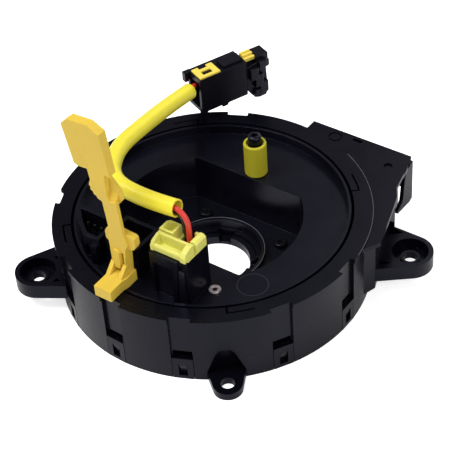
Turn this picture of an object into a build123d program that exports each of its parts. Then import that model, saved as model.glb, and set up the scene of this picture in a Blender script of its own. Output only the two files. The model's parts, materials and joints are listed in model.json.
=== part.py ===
"""Steering clock spring: a fixed case with a turning dish, its sockets, lock tab and lead."""
import os
from math import atan2, cos, degrees, radians, sin, sqrt, tan

from build123d import *

os.makedirs("parts", exist_ok=True)

# Millimetres. The turning axis is Z, the case stands on z = 0, the rear box looks along +Y.
# Driving sizes of the case
RING_R = 56.0            # outer radius of the flat ring on top
RING_TOP = 27.0          # height of the ring's top face
RING_IN = 49.3           # inner radius of the ring
RING_T = 1.7             # thickness of the ring
WALL_IN = 0.6            # the round wall stands in from the ring's edge
WALL_T = 1.8             # thickness of the round wall
COVER_T = 1.2            # thickness of the bottom cover
FIT = 0.05               # gap between pieces that are fixed to each other
RUN = 0.08               # gap of the turning fit, on the radius
SLIDE = 0.15             # gap beside sliding pieces and over turning faces

# Snap loops round the wall, angles in degrees
CLIP_ANGLES = [115.0, 172.5, 203.5, 241.0, 267.5, 293.5, 329.0, 359.5]
CHANNEL_W = 7.6          # width of the upright channels
CHANNEL_D = 1.25         # depth of the channels
LOOP_H = 9.2             # height of the loops
LOOP_T = 1.0             # thickness of the loops
LOOP_GAP = 0.2           # air round a loop in its channel
WINDOW_W = 3.0           # width of the window in a loop
WINDOW_TOP = 6.5         # top of that window

# Screw ears
SIDE_EAR_R = 8.1         # end radius of the two side ears
SIDE_EAR_Z = 6.2         # underside of the side ears
SIDE_EAR_H = 5.8         # height of the side ears
SIDE_EAR_FLOOR = 1.8     # floor left under the counterbore
EAR_BORE_R = 6.4         # radius of the counterbore
EAR_HOLE_R = 2.5         # radius of the screw hole
RIGHT_EAR = (61.3, 31.3)
LEFT_EAR = (-44.7, -44.5)
FRONT_EAR_R = 60.0       # hole circle radius of the front ear
FRONT_EAR_A = -51.5      # its angle
FRONT_EAR_END = 5.1
FRONT_EAR_T = 2.8
FRONT_HOLE_R = 2.4

# Rear box
BOX_DROP = 0.7           # the box top lies this much under the ring's top
BOX_T = 1.6              # its wall thickness
BOX_FOOT = 3.0           # underside of the box walls
BOX_TOP_OUTLINE = [(3.2, 52.5), (3.2, 61.3), (44.4, 61.3), (58.4, 15.8), (54.6, 9.0), (50.0, 22.0)]
BOX_WALL_OUTLINE = [(4.6, 50.0), (4.6, 60.2), (39.9, 60.2), (55.7, 16.9), (53.0, 9.0), (46.0, 20.0)]

# Plug-in block in the rear box
BLOCK_OUTLINE = [(8.0, 55.4), (8.0, 58.3), (37.0, 58.3), (41.9, 44.8), (30.0, 47.6), (20.0, 53.2)]
BLOCK_FOOT = 4.0
BLOCK_TOP = 20.0
BLOCK_T = 1.3            # wall of the block
BLOCK_ROOF = 4.0         # thickness above its hollow
BLOCK_PIN_X = 16.5       # first of the row of pins
BLOCK_PIN_Y = 56.0       # front of the row
BLOCK_PIN_STEP = 3.4

# Turning dish
RIM_GAP = 1.0            # air between the ring and the dish's rim
RIM_T = 1.0              # thickness of the rim
SINK = 3.4               # the plate lies this much under the rim's top
PLATE_T = 1.8
WELL_C = (-1.7, 0.0)     # middle of the round sides of the well
WELL_R = 33.1
WELL_BACK = 24.1         # straight back side
WELL_FRONT = -19.9       # straight front side
WELL_T = 1.5
FLOOR_TOP = 5.0
FLOOR_T = 1.7
DRUM_R = 38.2            # the drum that the flat cable is wound on
DRUM_T = 1.3
COLLAR_R = 17.8          # raised collar round the hole
COLLAR_TOP = 8.0
FUNNEL_R = 16.4
SHELF_R = 14.4
SHELF_Z = 4.2
BORE_R = 12.0            # hole for the steering column
BEAR_R = 27.0            # turning fit between dish and bottom cover
FLANGE_R = 29.8          # retaining ring under the cover

# Sockets on the plate, each as (x0, x1, y0, y1, top)
AIRBAG_TOWER = (4.7, 19.0, -40.0, -28.0, 41.5)
MIDDLE_SOCKET = (-16.2, -2.4, -38.4, -26.2, 36.6)
LEFT_SOCKET = (-36.0, -18.9, -39.0, -27.6, 33.8)
SOCKET_T = 1.4           # wall of the sockets
SOCKET_FLOOR = 2.6       # floor of the sockets over the plate
SOCKET_EDGE_R = 46.4     # the outer socket is rounded to the rim
PIN_W = 0.64             # square socket pins
PIN_H = 6.0

# Drive pin
DRIVE_AT = (-0.7, 28.4)
DRIVE_R = 2.45
DRIVE_TOP = 40.4
DRIVE_SLEEVE_R = 4.15
DRIVE_SLEEVE_H = 13.4

# Flat cable inside
CABLE_W = 16.0           # width of the cable, which stands on edge
CABLE_T = 0.35           # its thickness
CABLE_PITCH = 1.9        # from turn to turn
CABLE_TURNS = 5
CABLE_AIR = 0.3          # air under the cable and at the drum

# Lead
WIRE_R = 0.95
SLEEVE_R = 3.05
SLEEVE_WALL = 0.45
WIRE_OFF = 1.05          # each wire lies this much off the sleeve's middle line
WIRE_AIR = 0.1           # air round a wire in the plug
# Middle line of the sleeve: corners as (x, y); its height falls evenly towards the back
LEAD_Z = 46.2
LEAD_SLOPE = -0.16
LEAD_XY = [(13.2, -30.6), (-9.0, -27.2), (-24.4, -19.4), (-35.2, -5.6), (-40.3, 11.0), (-40.0, 27.0), (-35.9, 38.0)]
SLEEVE_START = 5.6       # the sleeve ends this far before the wires turn down into the plug

# Airbag connector, in its own directions: u along, v across to the back, then height
CONN_AT = (-31.7, 39.6)
CONN_TURN = 67.0
CONN_LEN = 20.0
CONN_W = 9.0
CONN_Z = 30.5
CONN_TOP = 45.3
CLIP_T = 1.1
CPA_TRAVEL = 1.8

# Lock tab
TAB_X = -4.7             # middle of the tab's foot
TAB_FRONT_Y = -45.5      # plane of its front
TAB_DEEP = 3.4           # depth of head and base
TAB_STRIP_T = 1.4        # thickness of the stem
TAB_FOOT_H = 4.3
TAB_REACH = 9.9          # the foot comes this far forward of the front plane
TAB_LIFT = 0.3           # air under the foot

WALL_R = RING_R - WALL_IN
WALL_INNER = WALL_R - WALL_T
CHANNEL_R = WALL_R - CHANNEL_D
WALL_FOOT = COVER_T + FIT
RIM_R = RING_IN - RIM_GAP
PLATE_TOP = RING_TOP - SINK
BOX_TOP = RING_TOP - BOX_DROP


def at(radius, angle):
    """Point on a circle round the axis."""
    return (radius * cos(radians(angle)), radius * sin(radians(angle)))


def tube(r_out, r_in, z0, z1):
    """Round tube round the axis."""
    body = extrude(Circle(r_out), z1 - z0)
    if r_in > 0:
        body -= extrude(Circle(r_in), z1 - z0)
    return Pos(0, 0, z0) * body


def block(x0, x1, y0, y1, z0, z1):
    """Box given by its six faces."""
    middle = ((x0 + x1) / 2, (y0 + y1) / 2, (z0 + z1) / 2)
    return Pos(*middle) * Box(x1 - x0, y1 - y0, z1 - z0)


def prism(points, z0, z1):
    """Upright prism on a closed outline."""
    return Pos(0, 0, z0) * extrude(make_face(Polyline(*points, close=True)), z1 - z0)


def side_prism(points, x0, x1):
    """Prism along X on an outline given as (y, z)."""
    plane = Plane(origin=(x0, 0, 0), x_dir=(0, 1, 0), z_dir=(1, 0, 0))
    return extrude(plane * make_face(Polyline(*points, close=True)), x1 - x0)


def front_prism(points, y0, y1):
    """Prism along Y on an outline given as (x, z)."""
    plane = Plane(origin=(0, y1, 0), x_dir=(1, 0, 0), z_dir=(0, -1, 0))
    return extrude(plane * make_face(Polyline(*points, close=True)), y1 - y0)


def sector(r0, r1, a0, a1, z0, z1):
    """Piece of a round tube between two angles."""
    middle = (a0 + a1) / 2
    outer = ThreePointArc(at(r1, a0), at(r1, middle), at(r1, a1))
    inner = ThreePointArc(at(r0, a1), at(r0, middle), at(r0, a0))
    edges = [outer, Line(at(r1, a1), at(r0, a1)), inner, Line(at(r0, a0), at(r1, a0))]
    return Pos(0, 0, z0) * extrude(make_face(edges), z1 - z0)


def turned(angle, shape):
    """Shape turned round the axis."""
    return Rot(0, 0, angle) * shape


def shifted_outline(points, amount):
    """Closed outline moved in by an even amount."""
    face = make_face(Polyline(*points, close=True))
    return offset(face, -amount, kind=Kind.INTERSECTION)


# Case

def arch_outline(grow=0.0):
    """Outline of the arched pocket over the front ear, as (across, height)."""
    half = 6.5 + grow
    return [(-half, 0.0), (-half, 3.6), (-3.2 - grow, 11.8), (-1.8 - grow, 13.4 + grow),
            (1.8 + grow, 13.4 + grow), (3.2 + grow, 11.8), (half, 3.6), (half, 0.0)]


def arch_body(r0, r1, grow, z0):
    """Solid behind the arched pocket between two radii."""
    plane = Plane(origin=(r0, 0, 0), x_dir=(0, 1, 0), z_dir=(1, 0, 0))
    points = [(a, max(h, z0)) for a, h in arch_outline(grow)]
    return turned(FRONT_EAR_A, extrude(plane * make_face(Polyline(*points, close=True)), r1 - r0))


def side_ear(centre, root):
    """Side ear: flat lug with a counterbored hole, a collar round the hole and open corners."""
    z1 = SIDE_EAR_Z + SIDE_EAR_H
    lug = prism(root, SIDE_EAR_Z, z1)
    lug += Pos(centre[0], centre[1], SIDE_EAR_Z) * extrude(Circle(SIDE_EAR_R), SIDE_EAR_H)
    floor = SIDE_EAR_Z + SIDE_EAR_FLOOR
    lug -= Pos(centre[0], centre[1], floor) * extrude(Circle(EAR_BORE_R), SIDE_EAR_H)
    lug += Pos(centre[0], centre[1], floor) * extrude(Circle(EAR_HOLE_R + 0.9), 1.2)
    return lug


def ear_hole(centre):
    """Screw hole of a side ear."""
    return Pos(centre[0], centre[1], SIDE_EAR_Z - 1) * extrude(Circle(EAR_HOLE_R), SIDE_EAR_H + 2)


def right_ear():
    """Right ear with a straight back edge and a slanted front edge."""
    x, y = RIGHT_EAR
    slant = radians(37.7)
    tangent = (x + SIDE_EAR_R * sin(slant), y - SIDE_EAR_R * cos(slant))
    low = (tangent[0] - 15.2 * cos(slant), tangent[1] - 15.2 * sin(slant))
    root = [(46.6, y + SIDE_EAR_R), (x, y + SIDE_EAR_R), tangent, low, (50.5, 17.0)]
    ear = side_ear(RIGHT_EAR, root)
    pocket_z = SIDE_EAR_Z + 1.6
    for points in ([(49.0, 38.2), (54.6, 38.2), (50.6, 34.6)], [(54.4, 21.4), (56.0, 19.6), (58.8, 22.4)]):
        ear -= prism(points, pocket_z, pocket_z + SIDE_EAR_H)
    return ear


def left_ear():
    """Left ear with two edges that widen towards the wall."""
    x, y = LEFT_EAR
    middle = degrees(atan2(y, x))
    root = []
    for side, spread in ((1, 14.0), (-1, 18.0)):
        angle = radians(middle + side * (90 + spread))
        touch = (x + SIDE_EAR_R * cos(radians(middle + side * (90 - spread))),
                 y + SIDE_EAR_R * sin(radians(middle + side * (90 - spread))))
        along = radians(middle + 180 + side * -spread)
        far = (touch[0] + 13.0 * cos(along), touch[1] + 13.0 * sin(along))
        root += [touch, far] if side > 0 else [far, touch]
    ear = side_ear(LEFT_EAR, root)
    pocket_z = SIDE_EAR_Z + 1.6
    for points in ([(-42.8, -34.4), (-44.3, -36.2), (-41.4, -36.4)], [(-34.2, -44.4), (-36.5, -44.2), (-36.2, -46.6)]):
        ear -= prism(points, pocket_z, pocket_z + SIDE_EAR_H)
    return ear


def rear_box():
    """Box at the back: flat top with overhang and walls under it."""
    top = prism(BOX_TOP_OUTLINE, BOX_TOP - BOX_T, BOX_TOP)
    walls = prism(BOX_WALL_OUTLINE, BOX_FOOT, BOX_TOP - BOX_T / 2)
    hollow = Pos(0, 0, BOX_FOOT - 1) * extrude(shifted_outline(BOX_WALL_OUTLINE, BOX_T), BOX_TOP - BOX_T - BOX_FOOT + 1)
    return top + (walls - hollow)


def side_guard():
    """Open guard beside the box: a thin upright wall on three bridges."""
    lean = [(48.9, 40.4), (50.3, 40.9), (49.6, 46.6), (48.6, 52.0), (45.6, 61.3), (42.6, 61.3), (42.9, 59.6),
            (44.3, 59.6), (47.2, 51.6), (48.1, 46.4)]
    wall = prism(lean, SIDE_EAR_Z, BOX_TOP - BOX_T / 2)
    slope = front_prism([(30.0, 0.0), (70.0, 0.0), (70.0, 12.0), (50.6, 12.0), (47.0, 3.0)], 38.0, 62.0)
    bridge = prism([(44.0, 47.6), (49.0, 47.6), (49.4, 45.6), (44.6, 45.6)], 9.0, BOX_TOP - BOX_T / 2)
    foot = prism([(46.0, 41.4), (49.6, 41.4), (50.3, 39.3), (46.8, 39.3)], SIDE_EAR_Z, 14.0)
    corner = prism([(39.0, 61.3), (45.2, 61.3), (45.6, 59.7), (39.4, 59.7)], 12.0, BOX_TOP - BOX_T / 2)
    return (wall - slope) + bridge + foot + corner


def upper_case():
    """Ring, round wall, box and side ears in one moulding."""
    case = tube(RING_R, RING_IN, RING_TOP - RING_T, RING_TOP)
    case += tube(RING_IN + 1.3, RING_IN, RING_TOP - 3.0, RING_TOP)
    case += tube(WALL_R, WALL_INNER, WALL_FOOT, RING_TOP - RING_T / 2)
    case += right_ear() + left_ear() + rear_box() + side_guard()
    case -= tube(WALL_INNER, 0, 0.0, RING_TOP - RING_T)
    case -= tube(RING_IN, 0, 0.0, RING_TOP + 1)
    case += sector(RING_IN, RING_IN + 1.3, 0, 180, RING_TOP - 3.0, RING_TOP)
    case += sector(RING_IN, RING_IN + 1.3, 180, 360, RING_TOP - 3.0, RING_TOP)
    backing = arch_body(WALL_INNER - 2.6, WALL_INNER + 0.4, 1.2, WALL_FOOT)
    case += backing
    case -= arch_body(WALL_INNER - 1.4, RING_R + 2, 0.0, 0.0)
    for angle in CLIP_ANGLES:
        case -= turned(angle, block(CHANNEL_R, RING_R + 1, -CHANNEL_W / 2, CHANNEL_W / 2, 0, RING_TOP + 1))
        case -= turned(angle, block(WALL_INNER - 1, RING_R, -CHANNEL_W / 2 + 0.5, CHANNEL_W / 2 - 0.5,
                                    LOOP_H + 0.4, LOOP_H + 2.7))
        case += turned(angle, catch())
    for angle in (42.0, 130.5, 220.0, 310.0):
        case -= latch_slit(angle)
    for centre in (RIGHT_EAR, LEFT_EAR):
        case -= ear_hole(centre)
    case -= block(21.2, 25.0, 58.6, 60.0, BOX_TOP - BOX_T - 1, BOX_TOP + 1)
    case -= Pos(39.9, 52.4, BOX_TOP - 0.7) * extrude(Circle(1.6), 2)
    case -= Pos(14.9, 57.2, BOX_TOP - 0.5) * (extrude(Circle(2.6), 2) - extrude(Circle(2.0), 2))
    return case


def catch():
    """Wedge that a loop snaps over; its flat top holds the loop."""
    top = WINDOW_TOP - SLIDE
    points = [(CHANNEL_R - 0.5, 2.4), (CHANNEL_R - 0.5, top), (CHANNEL_R + 1.0, top), (CHANNEL_R + 0.9, top - 1.0),
              (CHANNEL_R + 0.1, 2.4)]
    half = WINDOW_W / 2 - 0.25
    return front_prism(points, -half, half)


def latch_slit(start):
    """L-shaped slit in the ring's inner edge that frees a small latch."""
    z0 = RING_TOP - 3.5
    slit = sector(RING_IN - 1, 52.2, start, start + 0.75, z0, RING_TOP + 1)
    slit += sector(51.6, 52.2, start, start + 10.5, z0, RING_TOP + 1)
    return slit


def loop():
    """Snap loop of the bottom cover."""
    r0 = CHANNEL_R + LOOP_GAP
    half = CHANNEL_W / 2 - LOOP_GAP
    body = block(r0, r0 + LOOP_T, -half, half, 0, LOOP_H)
    body -= block(r0 - 1, r0 + LOOP_T + 1, -WINDOW_W / 2, WINDOW_W / 2, COVER_T + 0.2, WINDOW_TOP)
    return body


def front_ear():
    """Front ear: flat lug that narrows to its end."""
    r0 = WALL_INNER - 1.2
    half = 6.5 - LOOP_GAP
    x = FRONT_EAR_R
    points = [(r0, -half), (WALL_R - 0.4, -half), (x + 0.5, -FRONT_EAR_END), (x + 0.5, FRONT_EAR_END),
              (WALL_R - 0.4, half), (r0, half)]
    ear = prism(points, 0, FRONT_EAR_T) + Pos(x, 0, 0) * extrude(Circle(FRONT_EAR_END), FRONT_EAR_T)
    ear -= Pos(x, 0, -1) * extrude(Circle(FRONT_HOLE_R), FRONT_EAR_T + 2)
    return turned(FRONT_EAR_A, ear)


def bottom_cover():
    """Disc with the loops, the front ear and the stepped edge that the dish turns in."""
    step_r = FLANGE_R + 0.6
    cover = tube(WALL_R, step_r, 0, COVER_T)
    cover += tube(step_r + 1.6, BEAR_R, COVER_T + SLIDE, COVER_T + SLIDE + 1.5)
    cover += tube(step_r + 1.6, step_r, 0, COVER_T + SLIDE + 1.5)
    cover += tube(WALL_INNER - LOOP_GAP, WALL_INNER - LOOP_GAP - 1.3, 0, COVER_T + 2.2)
    for angle in CLIP_ANGLES:
        cover -= turned(angle, block(CHANNEL_R, WALL_R + 1, -CHANNEL_W / 2, CHANNEL_W / 2, -1, COVER_T + 1))
        cover += turned(angle, loop() + block(CHANNEL_R - 1, CHANNEL_R + LOOP_GAP + 0.1, -CHANNEL_W / 2 + LOOP_GAP,
                                              CHANNEL_W / 2 - LOOP_GAP, 0, COVER_T))
    cover -= turned(FRONT_EAR_A, block(WALL_INNER - 2.8, WALL_R + 1, -7.9, 7.9, COVER_T, 16))
    return cover + front_ear()


# Rear connector block

def rear_block():
    """Plain plug-in block in the rear box, open at the bottom."""
    body = prism(BLOCK_OUTLINE, BLOCK_FOOT, BLOCK_TOP)
    hollow = extrude(shifted_outline(BLOCK_OUTLINE, BLOCK_T), BLOCK_TOP - BLOCK_ROOF - BLOCK_FOOT + 1)
    return body - Pos(0, 0, BLOCK_FOOT - 1) * hollow


def rear_pin(x):
    """Bent contact of the rear block, here its straight leg."""
    top = BLOCK_TOP - BLOCK_ROOF - FIT
    return block(x - PIN_W / 2, x + PIN_W / 2, BLOCK_PIN_Y, BLOCK_PIN_Y + PIN_W, top - PIN_H - 1, top)


# Flat cable

def flat_cable():
    """Flat cable wound in open turns between the drum and the wall, its edge on the cover."""
    r0 = DRUM_R + CABLE_PITCH / 2 + CABLE_AIR
    turns = CABLE_TURNS
    pitch = CABLE_PITCH
    edges = []
    radius = r0
    centre = 0.0
    side = 1
    start = (radius, 0.0)
    for index in range(turns * 2):
        end = (centre - side * radius, 0.0)
        top = (centre, side * radius)
        edges.append(ThreePointArc(start, top, end))
        start = end
        radius += pitch / 2
        centre += side * pitch / 2
        side = -side
    path = Wire(edges)
    band = trace(path, CABLE_T)
    return Pos(0, 0, COVER_T + CABLE_AIR) * extrude(band, CABLE_W)


# Dish

def well_face(grow=0.0):
    """Outline of the well: a circle cut by two parallel straight sides."""
    face = Pos(WELL_C[0], WELL_C[1]) * Circle(WELL_R + grow)
    height = WELL_BACK - WELL_FRONT + 2 * grow
    return face & (Pos(WELL_C[0], (WELL_BACK + WELL_FRONT) / 2) * Rectangle(2 * WELL_R + 10, height))


def socket_shell(size, inner_r=None):
    """Open box standing on the plate."""
    x0, x1, y0, y1, top = size
    shell = block(x0, x1, y0, y1, PLATE_TOP - 0.5, top)
    hollow = block(x0 + SOCKET_T, x1 - SOCKET_T, y0 + SOCKET_T, y1 - SOCKET_T, PLATE_TOP + SOCKET_FLOOR, top + 1)
    if inner_r:
        shell &= tube(inner_r, 0, 0, 60)
        hollow &= tube(inner_r - SOCKET_T, 0, 0, 60)
    return shell - hollow


def airbag_tower():
    """Tall socket with a bevelled hood and two tapered ribs in front."""
    x0, x1, y0, y1, top = AIRBAG_TOWER
    tower = socket_shell(AIRBAG_TOWER)
    hood = side_prism([(y0 + 0.5, top), (y0 - 1.1, top), (y0 - 1.1, top - 4.2), (y0 + 0.5, top - 6.0)], x0, x0 + 11.2)
    tower += hood
    for x, wide in ((x0 + 9.6, 1.6), (x1 - 2.6, 2.2)):
        points = [(y0 + 0.3, top - 3.0), (y0 - 1.1, top - 3.0), (y0 - 2.6, PLATE_TOP + 1.5), (y0 - 2.6, PLATE_TOP - 0.3),
                  (y0 + 0.3, PLATE_TOP - 0.3)]
        tower += side_prism(points, x, x + wide)
    tower += side_prism([(y0 + 0.3, top - 4.0), (y0 - 1.1, top - 4.0), (y0 - 1.1, PLATE_TOP - 0.3),
                         (y0 + 0.3, PLATE_TOP - 0.3)], x0, x0 + 1.2)
    return tower


def left_socket():
    """Outer socket, rounded to the rim, with a slot in its front and two posts."""
    x0, x1, y0, y1, top = LEFT_SOCKET
    shell = socket_shell(LEFT_SOCKET, SOCKET_EDGE_R)
    shell -= block(-25.4, -22.4, y0 - 3, y0 + 4.5, PLATE_TOP + 0.6, top - 4.6)
    shell += block(-21.4, x1, y0 - 1.8, y0 + 0.5, PLATE_TOP - 0.3, top - 2.0) & tube(SOCKET_EDGE_R, 0, 0, 60)
    return shell


def hub():
    """Bottom of the dish with the collar, the funnel and the turning journal."""
    body = tube(BEAR_R - RUN, SHELF_R, COVER_T + 0.1, FLOOR_TOP)
    body += tube(COLLAR_R, SHELF_R, FLOOR_TOP - 1, COLLAR_TOP)
    body -= tube(FUNNEL_R, 0, SHELF_Z, COLLAR_TOP + 1)
    for angle in (20.0, 110.0, 200.0, 290.0):
        body -= turned(angle, block(SHELF_R - 2, SHELF_R + 1.2, -3.0, 3.0, 0, SHELF_Z + 1))
    return body


def hub_screw_points():
    """Places of the two screws in the well's floor."""
    return [(-16.4, 17.0), (16.4, 17.0)]


def rotor():
    """Dish with rim, plate, well, drum, hub and sockets in one moulding."""
    dish = tube(RIM_R, RIM_R - RIM_T, PLATE_TOP - PLATE_T, RING_TOP)
    dish += tube(RIM_R, 0, PLATE_TOP - PLATE_T, PLATE_TOP)
    dish += tube(DRUM_R, DRUM_R - DRUM_T, COVER_T + 2.8, PLATE_TOP - 0.3)
    dish += Pos(0, 0, FLOOR_TOP - FLOOR_T) * extrude(well_face(WELL_T), PLATE_TOP - FLOOR_TOP + FLOOR_T - 0.3)
    cavity = fillet(well_face().vertices(), 2.2)
    dish -= Pos(0, 0, FLOOR_TOP) * extrude(cavity, PLATE_TOP - FLOOR_TOP + 1)
    dish -= tube(BEAR_R - 1, 0, 0, FLOOR_TOP)
    dish += hub()
    dish += airbag_tower() + socket_shell(MIDDLE_SOCKET) + left_socket()
    dish -= Pos(DRIVE_AT[0], DRIVE_AT[1], PLATE_TOP - 5) * extrude(Circle(DRIVE_R + FIT), 8)
    dish -= Pos(22.0, -30.2, PLATE_TOP - 5) * extrude(Circle(1.3 + FIT), 8)
    for x, y in hub_screw_points():
        dish -= Pos(x, y, 0) * extrude(Circle(1.25 + FIT), FLOOR_TOP + 1)
    return dish


def retaining_ring():
    """Ring screwed under the dish; its flange holds the dish in the cover."""
    ring = tube(FLANGE_R, BORE_R, 0.1, COVER_T)
    ring += tube(SHELF_R - 0.1, BORE_R, 0.1, SHELF_Z - 0.8)
    for angle in (20.0, 110.0, 200.0, 290.0):
        ring -= turned(angle, block(BORE_R - 2, SHELF_R + 0.5, -2.2, 2.2, COVER_T, SHELF_Z + 1))
    for x, y in hub_screw_points():
        ring -= Pos(x, y, -1) * extrude(Circle(1.25 + FIT), 5)
    return ring


def hub_screw(x, y):
    """Pan-head screw with a cross recess."""
    head = Pos(0, 0, FLOOR_TOP) * extrude(Circle(2.4), 1.5)
    head = fillet(head.edges().group_by(Axis.Z)[-1], 0.6)
    screw = head + Pos(0, 0, 0.3) * extrude(Circle(1.25), FLOOR_TOP)
    top = FLOOR_TOP + 1.5
    screw -= block(-1.3, 1.3, -0.3, 0.3, top - 0.7, top + 1) + block(-0.3, 0.3, -1.3, 1.3, top - 0.7, top + 1)
    return Pos(x, y, 0) * screw


def drive_pin():
    """Round pin with a domed head and a socket hole."""
    pin = Pos(0, 0, PLATE_TOP - PLATE_T) * extrude(Circle(DRIVE_R), DRIVE_TOP - PLATE_TOP + PLATE_T)
    pin = fillet(pin.edges().group_by(Axis.Z)[-1], 1.1)
    pin -= Pos(0, 0, DRIVE_TOP - 2.2) * extrude(RegularPolygon(1.15, 6), 4)
    return Pos(DRIVE_AT[0], DRIVE_AT[1], 0) * pin


def drive_sleeve():
    """Soft sleeve round the drive pin."""
    z0 = PLATE_TOP + FIT
    sleeve = Pos(0, 0, z0) * (extrude(Circle(DRIVE_SLEEVE_R), DRIVE_SLEEVE_H))
    sleeve = fillet(sleeve.edges(), 0.6)
    sleeve -= Pos(0, 0, z0 - 1) * extrude(Circle(DRIVE_R + FIT), DRIVE_SLEEVE_H + 2)
    sleeve -= Pos(0, 0, z0 + DRIVE_SLEEVE_H - 1.6) * extrude(Circle(DRIVE_R + 0.65), 3)
    return Pos(DRIVE_AT[0], DRIVE_AT[1], 0) * sleeve


def plate_rivet():
    """Hollow rivet in the plate."""
    rivet = Pos(0, 0, PLATE_TOP + 0.02) * extrude(Circle(2.1), 0.7)
    rivet += Pos(0, 0, PLATE_TOP - PLATE_T) * extrude(Circle(1.3), PLATE_T + 0.3)
    rivet -= Pos(0, 0, PLATE_TOP - 3) * extrude(Circle(0.85), 6)
    return Pos(22.0, -30.2, 0) * rivet


def socket_pin(x, y):
    """Square pin in the floor of a socket."""
    z0 = PLATE_TOP + SOCKET_FLOOR + FIT
    pin = block(x - PIN_W / 2, x + PIN_W / 2, y - PIN_W / 2, y + PIN_W / 2, z0, z0 + PIN_H)
    return chamfer(pin.edges().group_by(Axis.Z)[-1], 0.2)


# Plug on the airbag tower

def airbag_plug():
    """Plug: a foot in the tower, a slotted bar in front, a tower at the back, a side block."""
    x0, x1, y0, y1, top = AIRBAG_TOWER
    gap = 0.12
    low = top + FIT
    foot = block(x0 + SOCKET_T + gap, x1 - SOCKET_T - gap, y0 + SOCKET_T + gap, y1 - SOCKET_T - gap, top - 9.0, low + 1)
    bar = side_prism([(y0 - 1.3, low), (y0 - 1.3, low + 2.6), (y0 + 0.6, low + 2.6), (y0 + 0.6, low + 1.2),
                      (y0 + 3.4, low + 1.2), (y0 + 3.4, low + 4.6), (y0 + 5.2, low + 4.6), (y0 + 6.2, low + 3.4),
                      (y0 + 6.2, low)], x0 - 0.6, x1 - 3.2)
    ends = side_prism([(y0 - 1.3, low), (y0 - 1.3, low + 2.8), (y0 + 1.6, low + 4.6), (y0 + 5.2, low + 4.6),
                       (y0 + 6.2, low + 3.4), (y0 + 6.2, low)], x0 - 0.6, x0 + 0.8)
    block_right = side_prism([(y0 - 0.6, low), (y0 - 1.3, low + 1.4), (y0 - 1.3, low + 2.8), (y0 + 1.6, low + 4.6),
                              (y1 - 1.2, low + 4.6), (y1 - 0.2, low + 3.6), (y1 - 0.2, low)], x1 - 4.1, x1 + 0.9)
    back = front_prism([(x0 - 0.4, low), (x0 - 0.4, low + 4.2), (x0 + 0.8, low + 5.7), (x0 + 5.2, low + 5.7),
                        (x0 + 6.2, low + 4.6), (x0 + 6.2, low)], y0 + 7.2, y1 - 0.6)
    plate = block(x0 - 0.6, x1 + 0.7, y0 + 2.0, y1 - 0.3, low, low + 1.6)
    plug = foot + bar + ends + block_right + back + plate
    for side in (-1, 1):
        root = wire_points(side)[0]
        plug -= Pos(root[0], root[1], root[2] - 1) * extrude(Circle(WIRE_R + WIRE_AIR), 6)
        plug -= pipe(wire_points(side)[:3], WIRE_R + WIRE_AIR)
    return plug


# Lead

def lead_plane_z(x, y):
    """Height of the lead's middle line over a place."""
    return LEAD_Z + LEAD_SLOPE * y


def lead_points():
    """Corners of the lead's middle line in space."""
    return [(x, y, lead_plane_z(x, y)) for x, y in LEAD_XY]


def route_length(points):
    """Straight lengths between the corners."""
    return [sqrt(sum((b[i] - a[i]) ** 2 for i in range(3))) for a, b in zip(points, points[1:])]


def corner_radii(points):
    """Radius of each corner: it takes up 0.45 of the shorter run beside it."""
    runs = route_length(points)
    radii = []
    for i in range(1, len(points) - 1):
        before = Vector(*points[i]) - Vector(*points[i - 1])
        after = Vector(*points[i + 1]) - Vector(*points[i])
        turn = radians(before.get_angle(after))
        radii.append(0.45 * min(runs[i - 1], runs[i]) / tan(turn / 2))
    return radii


def smooth_route(points):
    """Straight runs joined by tangent arcs."""
    return FilletPolyline(*points, radius=corner_radii(points))


def pipe(points, radius):
    """Round bar along a route."""
    route = smooth_route(points)
    start = Plane(origin=route @ 0, z_dir=route % 0)
    return sweep(start * Circle(radius), path=route)


def sleeve_points():
    """Route of the sleeve: it starts a little behind the place where the wires turn down."""
    points = lead_points()
    first = Vector(*points[0])
    second = Vector(*points[1])
    start = first + (second - first).normalized() * SLEEVE_START
    return [tuple(start)] + points[1:]


def wire_points(side):
    """Route of one wire: up out of the plug, through the sleeve and into the connector."""
    normal = Vector(0, -LEAD_SLOPE, 1).normalized() * (side * WIRE_OFF)
    inner = [Vector(*p) + normal for p in lead_points()]
    out = (inner[0] - inner[1]).normalized()
    corner = inner[0] + out * (side * WIRE_OFF)
    root = Vector(corner.X, corner.Y, AIRBAG_TOWER[4] - 6.0)
    ahead = (inner[-1] - inner[-2]).normalized()
    end = inner[-1] + ahead * 3.6
    return [tuple(p) for p in [root, corner] + inner[1:-1] + [end]]


def wire(side):
    """One insulated wire."""
    return pipe(wire_points(side), WIRE_R)


def lead_sleeve():
    """Thin sleeve over the two wires."""
    points = sleeve_points()
    return pipe(points, SLEEVE_R) - pipe(points, SLEEVE_R - SLEEVE_WALL)


# Airbag connector

def conn_place(shape):
    """From the connector's own directions to its place on the ring."""
    return Pos(CONN_AT[0], CONN_AT[1], 0) * Rot(0, 0, CONN_TURN) * shape


def conn_profile():
    """Side outline of the connector body as (u, z)."""
    z = CONN_Z
    top = CONN_TOP
    foot = RING_TOP + TAB_LIFT
    return [(0.0, foot + 0.6), (0.5, foot), (1.3, foot), (2.4, z), (8.5, z), (8.9, z - 0.9), (11.0, z - 0.9), (11.6, z),
            (CONN_LEN, z), (CONN_LEN, top), (0.0, top)]


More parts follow.
